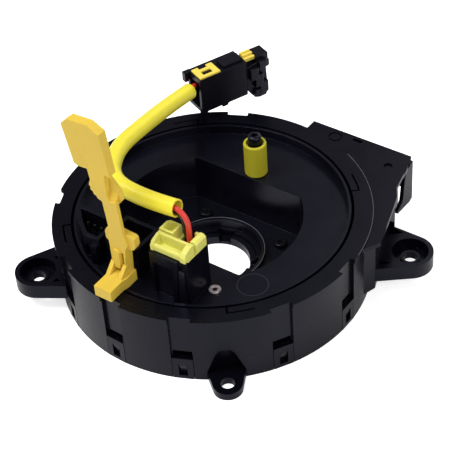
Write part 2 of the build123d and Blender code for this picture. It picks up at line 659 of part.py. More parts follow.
def connector_body():
    """Long body with a foot under one end and a raised back on top."""
    body = front_prism(conn_profile(), 0, CONN_W)
    body -= block(-1, 2.6, 1.8, CONN_W + 1, RING_TOP - 1, CONN_Z)
    body += side_rounded(10.9, CONN_LEN - 0.6, 0.4, 6.8, CONN_TOP - 0.5, CONN_TOP + 2.6)
    body += block(-2.4, 0.6, 6.9, CONN_W, CONN_TOP - 3.6, CONN_TOP + 0.2)
    body -= block(-1, 4.6, 1.4, 7.6, CONN_Z + 1.5, CONN_TOP - 2.2)
    body -= block(CONN_LEN - 9.0, CONN_LEN + 1, 1.4, CONN_W - 1.4, CONN_Z + 1.4, CONN_TOP - 2.2)
    return conn_place(body)


def side_rounded(u0, u1, v0, v1, z0, z1):
    """Low bar with rounded long edges."""
    bar = block(u0, u1, v0, v1, z0, z1)
    edges = bar.edges().filter_by(Axis.X).group_by(Axis.Z)[-1]
    return fillet(edges, 1.2)


def connector_nose():
    """End piece with steps, a latch arm and an upper bridge."""
    z = CONN_Z
    top = CONN_TOP
    u = CONN_LEN
    profile = [(u + 0.1, z + 2.0), (u + 2.0, z - 1.6), (u + 5.0, z - 2.8), (u + 8.2, z - 1.2), (u + 9.4, z + 2.6),
               (u + 8.4, z + 4.6), (u + 9.6, z + 7.2), (u + 8.8, z + 9.4), (u + 10.6, z + 10.4), (u + 11.4, z + 13.6),
               (u + 8.6, z + 16.4), (u + 6.8, z + 15.2), (u + 4.4, z + 13.2), (u + 0.1, z + 12.6)]
    nose = front_prism(profile, -1.6, 7.2)
    nose -= block(u + 2.6, u + 5.0, -3, -0.6, z + 9.6, z + 14)
    nose -= block(u + 1.4, u + 2.2, -3, 0.2, z + 4.6, z + 16)
    tongue = block(u - 8.4, u + 0.6, 1.6, CONN_W - 1.6, z + 1.6, top - 2.4)
    head = front_prism([(u + 6.4, top - 1.0), (u + 6.4, top + 2.4), (u + 8.4, top + 3.8), (u + 10.6, top + 2.8),
                        (u + 11.6, top - 1.0)], 1.2, CONN_W - 0.4)
    return conn_place(nose + tongue + head)


def cpa_slider():
    """Flat clip with a slot and a short leg that runs in the body."""
    z0 = CONN_TOP + FIT
    clip = block(0.2, 8.9, 0.2, 6.7, z0, z0 + CLIP_T)
    clip -= block(3.0, 6.4, 2.9, 4.1, z0 - 1, z0 + 3)
    return conn_place(clip)


def terminal_lock():
    """Two bars on one web behind the raised back."""
    z0 = CONN_TOP + FIT
    u0 = CONN_LEN - 0.4
    lock = block(u0, u0 + 6.6, 1.4, 5.6, z0, z0 + 0.9)
    lock += block(u0, u0 + 6.6, 1.4, 2.9, z0, z0 + 2.0) + block(u0, u0 + 6.6, 4.1, 5.6, z0, z0 + 2.0)
    return conn_place(lock)


# Lock tab

def tab_plate(points, y0, y1):
    """Plate of the tab: outline as (across, height) from the foot's middle, between two depths."""
    z0 = RING_TOP + TAB_LIFT
    outline = [(TAB_X + across, z0 + height) for across, height in points]
    return front_prism(outline, TAB_FRONT_Y + y0, TAB_FRONT_Y + y1)


def tab_rib(points, x0, x1):
    """Rib of the tab: outline as (depth, height), between two places across."""
    z0 = RING_TOP + TAB_LIFT
    outline = [(TAB_FRONT_Y + depth, z0 + height) for depth, height in points]
    return side_prism(outline, TAB_X + x0, TAB_X + x1)


def tab_base():
    """Foot, back plate, two ramps, front body, spring tongue and the cross-piece's ears."""
    z0 = RING_TOP + TAB_LIFT
    top = TAB_FOOT_H
    corners = [(-3.4, -TAB_REACH), (3.4, -TAB_REACH), (3.4, -3.4), (3.9, -1.6), (3.9, TAB_DEEP), (-3.4, TAB_DEEP)]
    base = prism([(TAB_X + a, TAB_FRONT_Y + b) for a, b in corners], z0, z0 + top)
    base += tab_plate([(-3.7, top - 1), (2.9, top - 1), (3.4, 16.0), (-3.9, 16.0)], TAB_STRIP_T, TAB_DEEP)
    body = tab_plate([(-3.0, top + 3.3), (2.6, top + 3.3), (3.2, 14.8), (4.4, 17.5), (3.2, 21.2), (-2.4, 21.7), (-3.4, 18.0),
                      (-3.2, 15.0)], 0, TAB_DEEP)
    body -= tab_plate([(1.1, top + 3.6), (2.2, top + 3.6), (2.2, 13.2), (1.1, 13.2)], -1, TAB_DEEP / 2)
    base += body
    for x0, x1 in ((-3.4, -1.9), (1.5, 2.9)):
        base += tab_rib([(-3.8, top - 0.2), (0, top + 3.8), (TAB_STRIP_T + 0.2, top + 3.8), (TAB_STRIP_T + 0.2, top - 0.2)], x0, x1)
    base += tab_plate([(-1.5, top + 2.0), (0.7, top + 2.0), (0.9, 13.2), (0.3, 14.0), (-1.2, 14.0), (-1.7, 13.2)], -0.7, 0.5)
    base += tab_plate([(-5.1, 16.4), (-3.8, 15.2), (3.2, 14.8), (6.2, 15.8), (7.0, 17.6), (6.8, 20.4), (6.0, 21.0), (-3.4, 21.3),
                       (-4.6, 20.6), (-5.3, 19.2)], 0.9, TAB_DEEP)
    return base


def tab_upper():
    """Thin stem, serrated neck with a fin behind it, and the thick leaning head."""
    upper = tab_plate([(-2.4, 20.5), (3.1, 20.5), (1.8, 34.4), (-3.9, 33.4)], 0, TAB_STRIP_T)
    upper += tab_plate([(-3.8, 32.8), (-5.6, 33.6), (-5.9, 34.4), (-6.9, 34.7), (-7.2, 35.7), (-8.0, 36.2), (-8.0, 37.4),
                        (-8.5, 38.0), (-8.2, 39.2), (-7.7, 40.2), (-8.4, 45.0), (-1.7, 45.0), (-1.7, 36.0), (-0.6, 33.8)],
                       0, TAB_DEEP)
    upper += tab_plate([(-2.2, 45.0), (-0.9, 42.0), (2.2, 38.4), (2.9, 34.6), (1.4, 32.6), (-2.2, 32.6)], 2.0, TAB_DEEP)
    upper += tab_rib([(0, 33.0), (2.1, 37.4), (2.1, 32.7), (0, 32.7)], -1.8, 1.5)
    upper += tab_plate([(0.6, 44.5), (-8.6, 44.5), (-11.9, 44.2), (-13.6, 44.8), (-16.8, 59.4), (-14.0, 62.0), (-6.0, 62.6),
                        (-1.6, 60.3)], 0, TAB_DEEP)
    return upper


def lock_tab():
    """Upright tab that is pulled out once the spring is fitted."""
    return tab_base() + tab_upper()


NODES = {}


def build_nodes():
    """All pieces by name."""
    NODES["upper_case"] = upper_case()
    NODES["bottom_cover"] = bottom_cover()
    NODES["rear_block"] = rear_block()
    for index in range(6):
        NODES["rear_pin_%d" % (index + 1)] = rear_pin(BLOCK_PIN_X + BLOCK_PIN_STEP * index)
    NODES["flat_cable"] = flat_cable()
    NODES["rotor"] = rotor()
    NODES["retaining_ring"] = retaining_ring()
    for index, (x, y) in enumerate(hub_screw_points()):
        NODES["hub_screw_%d" % (index + 1)] = hub_screw(x, y)
    NODES["drive_pin"] = drive_pin()
    NODES["drive_sleeve"] = drive_sleeve()
    NODES["plate_rivet"] = plate_rivet()
    for index in range(4):
        NODES["middle_pin_%d" % (index + 1)] = socket_pin(-13.4 + 2.7 * index, -32.3)
    for index in range(3):
        NODES["left_pin_%d" % (index + 1)] = socket_pin(-29.0 + 2.9 * index, -32.0)
    NODES["airbag_plug"] = airbag_plug()
    NODES["red_wire"] = wire(1)
    NODES["black_wire"] = wire(-1)
    NODES["lead_sleeve"] = lead_sleeve()
    NODES["connector_body"] = connector_body()
    NODES["connector_nose"] = connector_nose()
    NODES["cpa_slider"] = cpa_slider()
    NODES["terminal_lock"] = terminal_lock()
    NODES["lock_tab"] = lock_tab()


build_nodes()
print("sleeve radii", [round(r, 1) for r in corner_radii(sleeve_points())])
for side in (1, -1):
    print("wire radii", [round(r, 1) for r in corner_radii(wire_points(side))])
for name, shape in NODES.items():
    solids = shape.solids()
    print(name, "solids", len(solids), "volume", round(shape.volume, 1))
    export_step(shape, "parts/%s.step" % name)
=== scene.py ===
"""Steering clock spring: finishes, lead, floor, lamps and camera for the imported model."""
import json
from math import radians

import bmesh
import bpy
import numpy as np
from bpy.props import FloatProperty, FloatVectorProperty, IntProperty, PointerProperty
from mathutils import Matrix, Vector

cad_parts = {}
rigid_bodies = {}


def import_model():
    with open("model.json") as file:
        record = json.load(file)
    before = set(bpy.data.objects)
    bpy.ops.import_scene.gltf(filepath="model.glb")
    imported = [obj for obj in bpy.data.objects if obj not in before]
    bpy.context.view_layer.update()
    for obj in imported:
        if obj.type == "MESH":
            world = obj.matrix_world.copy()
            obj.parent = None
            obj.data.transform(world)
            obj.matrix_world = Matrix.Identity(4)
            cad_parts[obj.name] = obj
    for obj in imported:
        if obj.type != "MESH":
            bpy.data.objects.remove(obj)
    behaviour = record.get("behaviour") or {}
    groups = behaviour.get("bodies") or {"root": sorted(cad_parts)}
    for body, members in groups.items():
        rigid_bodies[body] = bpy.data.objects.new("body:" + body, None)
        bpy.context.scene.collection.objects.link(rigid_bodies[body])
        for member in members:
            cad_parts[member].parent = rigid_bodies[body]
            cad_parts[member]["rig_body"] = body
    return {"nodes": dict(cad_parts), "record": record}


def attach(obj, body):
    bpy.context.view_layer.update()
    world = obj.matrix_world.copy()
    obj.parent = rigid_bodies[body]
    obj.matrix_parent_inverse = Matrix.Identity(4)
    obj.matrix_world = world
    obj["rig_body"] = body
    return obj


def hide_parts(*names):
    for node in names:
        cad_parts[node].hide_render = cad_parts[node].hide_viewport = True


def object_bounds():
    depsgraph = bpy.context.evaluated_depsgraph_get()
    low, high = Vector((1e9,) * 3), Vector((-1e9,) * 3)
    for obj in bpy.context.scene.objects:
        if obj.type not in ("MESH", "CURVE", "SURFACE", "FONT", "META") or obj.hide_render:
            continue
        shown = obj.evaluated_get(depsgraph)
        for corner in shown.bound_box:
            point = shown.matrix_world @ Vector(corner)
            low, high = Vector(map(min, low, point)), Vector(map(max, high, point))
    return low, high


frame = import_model()
CAD_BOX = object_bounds()

bl_info = {
    "name": "Steering clock spring",
    "version": (1, 0, 0),
    "blender": (4, 5, 0),
    "location": "View3D > Sidebar > Clock Spring",
    "description": "Finishes the clock spring's mouldings, lead and connector, and lights them",
    "category": "Object",
}

# Route of the lead, in metres, from over the plug to the connector
LEAD_LINE = [(0.0132, -0.0306, 0.0549), (-0.0039, -0.0310, 0.0528), (-0.0192, -0.0292, 0.0535),
             (-0.0300, -0.0120, 0.0501), (-0.0330, 0.0068, 0.0463), (-0.0352, 0.0250, 0.0427),
             (-0.0359, 0.0380, 0.0401)]
LEAD_UPRIGHT = (0.0, 0.196, 0.981)  # from one wire to the other inside the sleeve
WIRES_AT_PLUG = (0.0, -0.6, 0.8)    # the same at the plug, where one wire nearly hides the other
WIRE_OFFSET = 0.00105               # from the lead's middle to the middle of each wire
WIRE_FOOT = 0.0355                  # the wires begin this high, inside the plug
WIRE_RISE = 0.0405                  # and stand straight up to here
WIRE_INTO_CONNECTOR = 0.0036        # they go this far past the route's last point
SLEEVE_START = 0.0034               # the sleeve's mouth is this far from the route's first point
LINE_STEPS = 20                     # points that a smooth line has for each given one

# Joining, rounding and shading of meshes
MERGE_DISTANCE = 2e-6      # points of a solid that are closer are one
FLAT_ANGLE = radians(0.8)  # faces that turn by less are one
EDGE_ANGLE = radians(28)   # edges that turn by more are rounded
TUBE_ANGLE = radians(40)   # edges of a tube that turn by more look sharp

# Edge radius of the small pieces, and the share of the set radius that other pieces take
SCREW_EDGE = 0.0001
PIN_EDGE = 0.00012
PIN_SLEEVE_EDGE = 0.0002
PLUG_SHARE = 0.75
CONNECTOR_SHARE = 0.6
CLIP_SHARE = 0.8
TAB_SHARE = 1.4

# In millimetres and degrees: the plug's lower and upper height, and the connector's place and top
PLUG_LOW = 41.6
PLUG_HIGH = 46.2
CONNECTOR_PLACE = {"turn": 67.0, "at": (-31.7, 39.6)}
CONNECTOR_TOP = 45.3

# Light beads along edges, whose light grey is a painted highlight, in metres and degrees: radius, height,
# start, stop and thickness
RING_HIGHLIGHT_BEAD = (0.0558, 0.02696, 6, 64, 0.00024)
HUB_HIGHLIGHT_BEAD = (0.01755, 0.00795, 0, 360, 0.0003)
BEAD_STEPS = 96
BEAD_AROUND = 8

# Faint round mark on the plate: middle, radius, and how many times deeper than the grain
PLATE_MARK = (0.0312, -0.0214, 0.0236)
PLATE_MARK_R = 0.00525
PLATE_MARK_DEPTH = 3.0

# Colours and depth of finishes that have no setting
# light grey of the edge beads: a painted highlight
HIGHLIGHT_GREY = (0.10, 0.10, 0.115)
SCREW_BLACK = (0.004, 0.004, 0.005)
PIN_BLACK = (0.0034, 0.0034, 0.0055)
CONNECTOR_BLACK = (0.0032, 0.0032, 0.0055)
RIVET_STEEL = (0.66, 0.58, 0.58)
# dark plating of the contact pins: painted shade of the sockets they sit in
CONTACT_METAL_SHADED = (0.06, 0.052, 0.04)
# black of the flat cable: painted shade, so the slots it shows through read dark
FILM_SHADE_BLACK = (0.012, 0.011, 0.011)
# lighter grey of the specks: partly dust, partly painted sheen
SPECK_AND_SHEEN_GREY = (0.05, 0.05, 0.06, 1.0)
MARK_GREY = (0.022, 0.022, 0.03, 1.0)
GLOSS_TINT = (0.72, 0.74, 1.0, 1.0)
RELIEF_DEPTH = 0.0001

# Camera, found from the ring, the rim and the ears in the photograph: degrees, and millimetres of lens
CAMERA_AT = (0.25304, -0.32314, 0.37852)
CAMERA_TURN = (48.7256, 3.2440, 34.6565)
CAMERA_LENS = 124.33

# Lamps: name, the setting of its power, place and side. They all look at one point.
LAMPS = (("key_lamp", "key_power", (-0.32, -0.36, 1.0), 0.6),
         ("fill_lamp", "fill_power", (0.75, -0.25, 0.55), 0.6),
         ("back_lamp", "back_power", (0.02, 0.85, 0.8), 0.8))
LAMP_TARGET = (0.0, 0.0, 0.02)

# Floor: its grey, and its glow to the eye and in glossy surfaces
FLOOR_GREY = 0.86
FLOOR_GLOW = 0.70
FLOOR_GLOW_MIRRORED = 0.15


class MouldingSettings(bpy.types.PropertyGroup):
    """Edges and colours of the moulded pieces."""
    edge: FloatProperty(name="Edge radius", description="Rounding of the moulded edges",
                        default=0.00022, unit="LENGTH")
    case_colour: FloatVectorProperty(name="Case", description="Colour of the case and the cover",
                                     default=(0.0021, 0.0021, 0.0044), subtype="COLOR")
    dish_colour: FloatVectorProperty(name="Dish", description="Colour of the turning dish",
                                     default=(0.0030, 0.0030, 0.0060), subtype="COLOR")
    tab_colour: FloatVectorProperty(name="Tab", description="Colour of the lock tab",
                                    default=(0.74, 0.515, 0.06), subtype="COLOR")
    plug_colour: FloatVectorProperty(name="Plug", description="Colour of the lime plug",
                                     default=(0.78, 0.75, 0.17), subtype="COLOR")
    pin_colour: FloatVectorProperty(name="Drive pin sleeve", description="Colour of the drive pin's sleeve",
                                    default=(0.50, 0.45, 0.022), subtype="COLOR")
    clip_colour: FloatVectorProperty(name="Clip", description="Colour of the connector's slide clip",
                                     default=(0.88, 0.68, 0.10), subtype="COLOR")


class LeadSettings(bpy.types.PropertyGroup):
    """Sizes and colours of the lead."""
    sleeve_diameter: FloatProperty(name="Sleeve diameter", description="Outside of the sleeve",
                                   default=0.0061, unit="LENGTH")
    sleeve_wall: FloatProperty(name="Sleeve wall", description="Thickness of the sleeve",
                               default=0.00045, unit="LENGTH")
    wire_diameter: FloatProperty(name="Wire diameter", description="Outside of each wire",
                                 default=0.0019, unit="LENGTH")
    around: IntProperty(name="Faces around", description="Faces round each tube", default=32)
    sleeve_colour: FloatVectorProperty(name="Sleeve", description="Colour of the sleeve",
                                       default=(0.95, 0.80, 0.045), subtype="COLOR")
    red_colour: FloatVectorProperty(name="Red wire", description="Colour of the red wire",
                                    default=(0.68, 0.042, 0.026), subtype="COLOR")
    black_colour: FloatVectorProperty(name="Black wire", description="Colour of the black wire",
                                      default=(0.004, 0.004, 0.005), subtype="COLOR")


class StageSettings(bpy.types.PropertyGroup):
    """Floor and lamps."""
    key_power: FloatProperty(name="Key lamp", description="Power of the large lamp",
                             default=10.5, unit="POWER")
    fill_power: FloatProperty(name="Fill lamp", description="Power of the side lamp",
                              default=3.6, unit="POWER")
    back_power: FloatProperty(name="Back lamp", description="Power of the lamp behind",
                              default=2.6, unit="POWER")
    sky: FloatProperty(name="Sky", description="Strength of the even light", default=0.2)
    floor_size: FloatProperty(name="Floor size", description="Side of the floor",
                              default=6.0, unit="LENGTH")


# Shader building

def place_node(tree, kind, **values):
    """New shader node with named properties or input values."""
    node = tree.nodes.new(kind)
    for key, value in values.items():
        name = key.replace("_", " ")
        if name in node.inputs:
            node.inputs[name].default_value = value
        else:
            setattr(node, key, value)
    return node


def math_node(tree, operation, first, second=0.0):
    """Math node of one or two sockets or numbers."""
    node = tree.nodes.new("ShaderNodeMath")
    node.operation = operation
    for socket, value in zip(node.inputs, (first, second)):
        if isinstance(value, (int, float)):
            socket.default_value = value
        else:
            tree.links.new(value, socket)
    return node.outputs[0]


def marked_colour(tree, mask, base, colour):
    """Colour socket that is the base, with another colour where the mask is one."""
    node = tree.nodes.new("ShaderNodeMix")
    node.data_type = "RGBA"
    tree.links.new(mask, node.inputs["Factor"])
    tree.links.new(base, node.inputs[6])
    node.inputs[7].default_value = colour
    return node.outputs[2]


def new_group(name, inputs, outputs):
    """Empty node group with its sockets, and the two end nodes."""
    group = bpy.data.node_groups.new(name, "ShaderNodeTree")
    for label, kind, default in inputs:
        socket = group.interface.new_socket(label, in_out="INPUT", socket_type=kind)
        socket.default_value = default
    for label, kind in outputs:
        group.interface.new_socket(label, in_out="OUTPUT", socket_type=kind)
    return group, group.nodes.new("NodeGroupInput"), group.nodes.new("NodeGroupOutput")


def moulded_group():
    """Surface of a moulding: a fine grain, slow flow marks in tone and gloss, and a height for relief."""
    group, given, result = new_group(
        "moulded_surface",
        [("Colour", "NodeSocketColor", (0.5, 0.5, 0.5, 1.0)), ("Tone", "NodeSocketFloat", 0.12),
         ("Grain Size", "NodeSocketFloat", 2600.0), ("Flow Size", "NodeSocketFloat", 90.0),
         ("Roughness", "NodeSocketFloat", 0.4), ("Roughness Spread", "NodeSocketFloat", 0.1)],
        [("Colour", "NodeSocketColor"), ("Roughness", "NodeSocketFloat"), ("Height", "NodeSocketFloat")])
    links = group.links
    place = group.nodes.new("ShaderNodeTexCoord")
    grain = place_node(group, "ShaderNodeTexNoise", Detail=3.0)
    flow = place_node(group, "ShaderNodeTexNoise", Detail=4.0, Distortion=0.6)
    for noise, size in ((grain, "Grain Size"), (flow, "Flow Size")):
        links.new(place.outputs["Object"], noise.inputs["Vector"])
        links.new(given.outputs[size], noise.inputs["Scale"])
    centred = math_node(group, "SUBTRACT", flow.outputs["Fac"], 0.5)
    tone = math_node(group, "MULTIPLY", centred, given.outputs["Tone"])
    speckled = math_node(group, "SUBTRACT", grain.outputs["Fac"], 0.5)
    fine = math_node(group, "MULTIPLY", speckled, given.outputs["Tone"])
    doubled = math_node(group, "MULTIPLY", math_node(group, "ADD", tone, fine), 2.0)
    lift = math_node(group, "ADD", doubled, 1.0)
    scaled = group.nodes.new("ShaderNodeVectorMath")
    scaled.operation = "SCALE"
    links.new(given.outputs["Colour"], scaled.inputs[0])
    links.new(lift, scaled.inputs["Scale"])
    links.new(scaled.outputs[0], result.inputs["Colour"])
    spread = math_node(group, "MULTIPLY", centred, given.outputs["Roughness Spread"])
    doubled = math_node(group, "MULTIPLY", spread, 2.0)
    rough = math_node(group, "ADD", given.outputs["Roughness"], doubled)
    links.new(rough, result.inputs["Roughness"])
    slow = math_node(group, "MULTIPLY", flow.outputs["Fac"], 0.5)
    links.new(math_node(group, "ADD", grain.outputs["Fac"], slow), result.inputs["Height"])
    return group


def dust_and_sheen_group():
    """Sparse specks and short hairline rubs, partly dust and wear and partly painted sheen: a mask that is
    one on a mark.
    """
    group, given, result = new_group(
        "dust_marks",
        [("Speck Size", "NodeSocketFloat", 420.0), ("Amount", "NodeSocketFloat", 0.1)],
        [("Mask", "NodeSocketFloat")])
    links = group.links
    place = group.nodes.new("ShaderNodeTexCoord")
    cells = group.nodes.new("ShaderNodeTexVoronoi")
    links.new(place.outputs["Object"], cells.inputs["Vector"])
    links.new(given.outputs["Speck Size"], cells.inputs["Scale"])
    clump = place_node(group, "ShaderNodeTexNoise", Scale=55.0, Detail=2.0)
    links.new(place.outputs["Object"], clump.inputs["Vector"])
    near = math_node(group, "LESS_THAN", cells.outputs["Distance"], given.outputs["Amount"])
    where = math_node(group, "GREATER_THAN", clump.outputs["Fac"], 0.57)
    links.new(math_node(group, "MULTIPLY", near, where), result.inputs["Mask"])
    return group


def ring_group():
    """Thin round line: a mask that is one within half the line's width of a radius round a middle."""
    group, given, result = new_group(
        "ring_mark",
        [("Middle", "NodeSocketVector", (0.0, 0.0, 0.0)), ("Radius", "NodeSocketFloat", 0.005),
         ("Half Width", "NodeSocketFloat", 0.00015)],
        [("Mask", "NodeSocketFloat")])
    links = group.links
    place = group.nodes.new("ShaderNodeTexCoord")
    away = group.nodes.new("ShaderNodeVectorMath")
    away.operation = "DISTANCE"
    links.new(place.outputs["Object"], away.inputs[0])
    links.new(given.outputs["Middle"], away.inputs[1])
    off = math_node(group, "SUBTRACT", away.outputs["Value"], given.outputs["Radius"])
    near = math_node(group, "LESS_THAN", math_node(group, "ABSOLUTE", off), given.outputs["Half Width"])
    links.new(near, result.inputs["Mask"])
    return group


def use_group(tree, name, make, **values):
    """Group placed in a tree with its values set. It is built at its first use."""
    node = tree.nodes.new("ShaderNodeGroup")
    node.node_tree = bpy.data.node_groups.get(name) or make()
    for key, value in values.items():
        node.inputs[key.replace("_", " ")].default_value = value
    return node


def start_material(name):
    """New material with its tree and its surface shader."""
    material = bpy.data.materials.new(name)
    material.use_nodes = True
    tree = material.node_tree
    return material, tree, tree.nodes["Principled BSDF"]


def soften(shader, weight, reach):
    """Lets a share of the light into the surface. The reach is for red, green and blue."""
    if weight > 0.0:
        shader.inputs["Subsurface Weight"].default_value = weight
        shader.inputs["Subsurface Radius"].default_value = reach
        shader.inputs["Subsurface Scale"].default_value = 1.0


def add_relief(tree, shader, height, strength):
    """Fine relief of the surface from a height."""
    relief = place_node(tree, "ShaderNodeBump", Strength=strength, Distance=RELIEF_DEPTH)
    tree.links.new(height, relief.inputs["Height"])
    tree.links.new(relief.outputs["Normal"], shader.inputs["Normal"])


def moulded_material(name, colour, roughness=0.4, tone=0.1, bump=0.05, dust_and_sheen=0.0, specular=0.3, mark=False,
                     soft=0.0):
    """Moulded plastic: grain and flow marks, with specks that are partly dust and partly painted sheen, and a
    faint round mark where asked.
    """
    material, tree, shader = start_material(name)
    base = use_group(tree, "moulded_surface", moulded_group, Colour=(*colour, 1.0), Tone=tone,
                     Roughness=roughness)
    shade = base.outputs["Colour"]
    height = base.outputs["Height"]
    if dust_and_sheen > 0.0:
        dust_and_sheen_specks = use_group(tree, "dust_marks", dust_and_sheen_group, Amount=dust_and_sheen)
        shade = marked_colour(tree, dust_and_sheen_specks.outputs["Mask"], shade, SPECK_AND_SHEEN_GREY)
    if mark:
        ring = use_group(tree, "ring_mark", ring_group, Middle=PLATE_MARK, Radius=PLATE_MARK_R)
        shade = marked_colour(tree, ring.outputs["Mask"], shade, MARK_GREY)
        sunk = math_node(tree, "MULTIPLY", ring.outputs["Mask"], PLATE_MARK_DEPTH)
        height = math_node(tree, "SUBTRACT", height, sunk)
    tree.links.new(shade, shader.inputs["Base Color"])
    tree.links.new(base.outputs["Roughness"], shader.inputs["Roughness"])
    shader.inputs["Specular IOR Level"].default_value = specular
    shader.inputs["Specular Tint"].default_value = GLOSS_TINT
    soften(shader, soft, (0.002, 0.0014, 0.0006))
    add_relief(tree, shader, height, bump)
    return material


def worn_edge():
    """Light grey of the edge beads, a painted highlight, made at its first use."""
    return bpy.data.materials.get("worn_edge") or moulded_material(
        "worn_edge", HIGHLIGHT_GREY, roughness=0.3, tone=0.3)


def metal_material(name, colour, roughness):
    """Plated metal with fine turning marks."""
    material, tree, shader = start_material(name)
    base = use_group(tree, "moulded_surface", moulded_group, Colour=(*colour, 1.0), Tone=0.12,
                     Grain_Size=5200.0, Flow_Size=400.0, Roughness=roughness, Roughness_Spread=0.2)
    tree.links.new(base.outputs["Colour"], shader.inputs["Base Color"])
    tree.links.new(base.outputs["Roughness"], shader.inputs["Roughness"])
    shader.inputs["Metallic"].default_value = 1.0
    return material


def cable_material(name, colour, roughness, stripe, soft=0.0):
    """Drawn insulation: fine lines along the length from the piece's own map, and a soft gloss."""
    material, tree, shader = start_material(name)
    base = use_group(tree, "moulded_surface", moulded_group, Colour=(*colour, 1.0), Tone=0.06,
                     Grain_Size=1500.0, Flow_Size=160.0, Roughness=roughness)
    place = tree.nodes.new("ShaderNodeUVMap")
    stretch = place_node(tree, "ShaderNodeMapping", Scale=(2.0, 26.0, 1.0))
    lines = place_node(tree, "ShaderNodeTexNoise", Scale=3.0, Detail=3.0)
    tree.links.new(place.outputs["UV"], stretch.inputs["Vector"])
    tree.links.new(stretch.outputs["Vector"], lines.inputs["Vector"])
    drawn = math_node(tree, "MULTIPLY", lines.outputs["Fac"], stripe)
    add_relief(tree, shader, math_node(tree, "ADD", base.outputs["Height"], drawn), 0.08)
    tree.links.new(base.outputs["Colour"], shader.inputs["Base Color"])
    tree.links.new(base.outputs["Roughness"], shader.inputs["Roughness"])
    soften(shader, soft, (0.002, 0.0015, 0.0004))
    return material


def floor_material():
    """Pale floor that glows to the eye, less in glossy surfaces, and keeps the object's shadow."""
    material, tree, shader = start_material("floor_white")
    tree.nodes.remove(shader)
    out = tree.nodes["Material Output"]
    matt = place_node(tree, "ShaderNodeBsdfDiffuse", Color=(FLOOR_GREY, FLOOR_GREY, FLOOR_GREY, 1.0))
    glow = tree.nodes.new("ShaderNodeEmission")
    seen = tree.nodes.new("ShaderNodeLightPath")
    mirrored = math_node(tree, "MAXIMUM", seen.outputs["Is Glossy Ray"], seen.outputs["Is Transmission Ray"])
    direct = math_node(tree, "MULTIPLY", seen.outputs["Is Camera Ray"], FLOOR_GLOW)
    indirect = math_node(tree, "MULTIPLY", mirrored, FLOOR_GLOW_MIRRORED)
    tree.links.new(math_node(tree, "MAXIMUM", direct, indirect), glow.inputs["Strength"])
    total = tree.nodes.new("ShaderNodeAddShader")
    tree.links.new(matt.outputs[0], total.inputs[0])
    tree.links.new(glow.outputs[0], total.inputs[1])
    tree.links.new(total.outputs[0], out.inputs["Surface"])
    return material


# Pieces

def body_name(node):
    """Name of the moving group that a solid belongs to."""
    return frame["nodes"][node]["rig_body"]


def slot_name(node):
    """Record's material slot of a solid."""
    return next(part["material_slot"] for part in frame["record"]["subparts"] if part["node"] == node)


def new_object(name, data):
    """New object in the scene."""
    item = bpy.data.objects.new(name, data)
    bpy.context.scene.collection.objects.link(item)
    return item


def settle(piece, node, material, takes_place=True):
    """Gives a piece its finish and lets it ride where its solid rides.

    It takes the solid's place, or else stands beside it."""
    piece.data.materials.clear()
    piece.data.materials.append(material)
    if takes_place:
        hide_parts(node)
    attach(piece, body_name(node))


def join_points(mesh, flat=False):
    """Joins points that lie together and, where asked, faces that lie in one plane, in the same pass."""
    work = bmesh.new()
    work.from_mesh(mesh)
    bmesh.ops.remove_doubles(work, verts=work.verts, dist=MERGE_DISTANCE)
    if flat:
        bmesh.ops.dissolve_limit(work, angle_limit=FLAT_ANGLE, verts=work.verts, edges=work.edges)
    work.to_mesh(mesh)
    work.free()


def cut_away(mesh, cutters):
    """A new mesh that is the given one without the space of the cutters, which are removed."""
    join_points(mesh)
    holder = new_object("cut_holder", mesh)
    for cutter in cutters:
        cut = holder.modifiers.new("cut", "BOOLEAN")
        cut.operation = "DIFFERENCE"
        cut.solver = "MANIFOLD"
        cut.object = cutter
    bpy.context.view_layer.update()
    rest = bpy.data.meshes.new_from_object(holder.evaluated_get(bpy.context.evaluated_depsgraph_get()))
    for spent in [holder] + cutters:
        bpy.data.objects.remove(spent)
    return rest


def rounded_solid(node, material, edge, segments=2, cutters=()):
    """The solid with its flat faces joined and its edges rounded by a bevel of the given radius.

    Where cutters are given, their space is taken out first."""
    mesh = frame["nodes"][node].data.copy()
    if cutters:
        mesh = cut_away(mesh, cutters)
    mesh.name = node + "_shape"
    join_points(mesh, flat=True)
    piece = new_object(node + "_finish", mesh)
    round_edges(piece, edge, segments)
    settle(piece, node, material)


def dressed_solid(node, material):
    """The solid itself with a finish."""
    solid = frame["nodes"][node]
    solid.data.materials.clear()
    solid.data.materials.append(material)


def sleeve_route():
    """The lead's points, with the first one moved along its run to the sleeve's mouth."""
    points = np.array(LEAD_LINE)
    run = points[1] - points[0]
    points[0] += run / np.linalg.norm(run) * SLEEVE_START
    return points


def wire_route(side):
    """Points of one wire: straight up out of the plug, along the lead off its middle, into the connector.

    The two wires lie one before the other at the plug and turn to one over the other inside the sleeve."""
    inner = np.array(LEAD_LINE)
    inner[0] += np.array(WIRES_AT_PLUG) * side * WIRE_OFFSET
    inner[1:] += np.array(LEAD_UPRIGHT) * side * WIRE_OFFSET
    out = inner[0] - inner[1]
    corner = inner[0] + out / np.linalg.norm(out) * side * WIRE_OFFSET
    ahead = inner[-1] - inner[-2]
    end = inner[-1] + ahead / np.linalg.norm(ahead) * WIRE_INTO_CONNECTOR
    foot = [(corner[0], corner[1], WIRE_FOOT), (corner[0], corner[1], WIRE_RISE)]
    return np.vstack([foot, corner, inner[1:-1], end])


def smooth_line(name, points):
    """Points along a quadratic NURBS curve that has the given points as its control points."""
    curve = bpy.data.curves.new(name + "_line", "CURVE")
    curve.dimensions = "3D"
    curve.resolution_u = LINE_STEPS
    spline = curve.splines.new("NURBS")
    spline.points.add(len(points) - 1)
    spline.points.foreach_set("co", np.column_stack([points, np.ones(len(points))]).ravel())
    spline.order_u = 3
    spline.use_endpoint_u = True
    holder = new_object(name + "_line", curve)
    bpy.context.view_layer.update()
    mesh = bpy.data.meshes.new_from_object(holder)
    line = np.empty(len(mesh.vertices) * 3)
    mesh.vertices.foreach_get("co", line)
    bpy.data.objects.remove(holder)
    bpy.data.curves.remove(curve)
    bpy.data.meshes.remove(mesh)
    return line.reshape(-1, 3)


